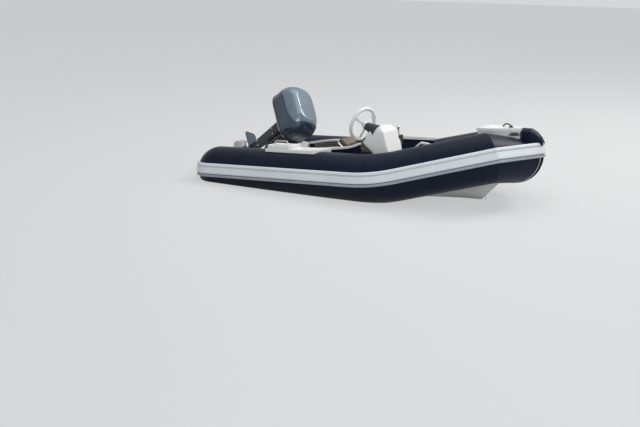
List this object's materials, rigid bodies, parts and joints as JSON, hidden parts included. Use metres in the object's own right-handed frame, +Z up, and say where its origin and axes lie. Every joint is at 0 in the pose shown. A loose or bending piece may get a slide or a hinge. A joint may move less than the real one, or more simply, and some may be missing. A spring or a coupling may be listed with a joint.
{
  "type": "rigid inflatable boat",
  "caption": "Small rigid inflatable boat with navy tubes, white hull, helm console, bow step, seats and a tilted outboard motor.",
  "frame": {"origin": "on the centreline at the waterline, amidships", "axes": "+X forward, +Y to port, +Z up; the boat floats bow up by 3.4 degrees and port side down by 2.8 degrees"},
  "size_m": [3.7066, 1.7712, 1.142],
  "materials": {
    "gelcoat": "gloss",
    "deck_gelcoat": "satin",
    "tube_fabric": "satin coated",
    "white_rubber": "satin",
    "grey_rubber": "satin",
    "black_plastic": "satin",
    "stainless": "polished",
    "white_plastic": "gloss",
    "vinyl": "satin",
    "engine_paint": "metallic gloss",
    "cast_metal": "rough",
    "white_paint": "gloss"
  },
  "bodies": {
    "boat": {"hull": "gelcoat", "cockpit_floor": "deck_gelcoat", "coaming": "gelcoat", "coaming_boards": "tube_fabric", "side_bolsters": "vinyl", "nose_fairing": "tube_fabric", "bow_deck": "gelcoat", "bow_step": "gelcoat", "bow_cleat": "stainless", "bow_eye": "stainless", "tube_starboard": "tube_fabric", "tube_port": "tube_fabric", "rub_strake_starboard": "white_rubber", "rub_strake_port": "white_rubber", "lower_strake_starboard": "grey_rubber", "lower_strake_port": "grey_rubber", "transom": "gelcoat", "transom_wear_plates": "black_plastic", "boarding_pad": "gelcoat", "boarding_handle": "stainless", "console": "gelcoat", "helm_housing": "black_plastic", "throttle_box": "black_plastic", "throttle_lever": "black_plastic", "helm_seat_box": "gelcoat", "helm_seat_cushion": "vinyl", "backrest_mounts": "stainless", "aft_bench": "gelcoat", "clamp_bracket": "engine_paint"},
    "hatch": {"bow_hatch": "gelcoat", "hatch_latch": "black_plastic"},
    "bench_lid": {"aft_bench_lid": "gelcoat", "aft_bench_cushion": "vinyl"},
    "backrest": {"backrest_frame": "stainless", "backrest_pad": "vinyl"},
    "engine_bracket": {"swivel_bracket": "engine_paint"},
    "outboard": {"outboard_leg": "engine_paint", "outboard_gearcase": "engine_paint", "outboard_lower_cowl": "engine_paint", "outboard_hood": "engine_paint", "engine_block": "cast_metal"},
    "screw": {"propeller": "white_paint"},
    "helm_wheel": {"steering_wheel": "white_plastic"}
  },
  "joints": [
    {"name": "hatch_hinge", "type": "hinge", "parent": "boat", "child": "hatch", "pos_m": [1.18077, 0.0199, 0.69648], "axis": [-0.0029, -0.9988, 0.0488], "range_deg": [0, 100]},
    {"name": "bench_lid_hinge", "type": "hinge", "parent": "boat", "child": "bench_lid", "pos_m": [-0.45533, 0.00178, 0.22807], "axis": [0.0029, 0.9988, -0.0488], "range_deg": [0, 55]},
    {"name": "backrest_fold", "type": "hinge", "parent": "boat", "child": "backrest", "pos_m": [-0.18603, -0.11324, 0.349], "axis": [0.0029, 0.9988, -0.0488], "range_deg": [0, 70]},
    {"name": "outboard_tilt", "type": "hinge", "parent": "boat", "child": "engine_bracket", "pos_m": [-1.08612, 0.0091, 0.34068], "axis": [0.0029, 0.9988, -0.0488], "range_deg": [-57, 3]},
    {"name": "outboard_steer", "type": "hinge", "parent": "engine_bracket", "child": "outboard", "pos_m": [-1.14404, 0.01325, 0.42209], "axis": [0.8152, 0.0259, 0.5787], "range_deg": [-16, 64]},
    {"name": "propeller_spin", "type": "hinge", "parent": "outboard", "child": "screw", "pos_m": [-1.741, 0.07563, 0.19226], "axis": [0.528, -0.4441, -0.7239], "continuous": true},
    {"name": "wheel_spin", "type": "hinge", "parent": "boat", "child": "helm_wheel", "pos_m": [-0.02498, -0.23404, 0.6734], "axis": [-0.9342, 0.2776, 0.2241], "range_deg": [-208, 832]}
  ],
  "couplings": [
    {"joint": "wheel_spin", "follows": "outboard_steer", "ratio": 13}
  ]
}
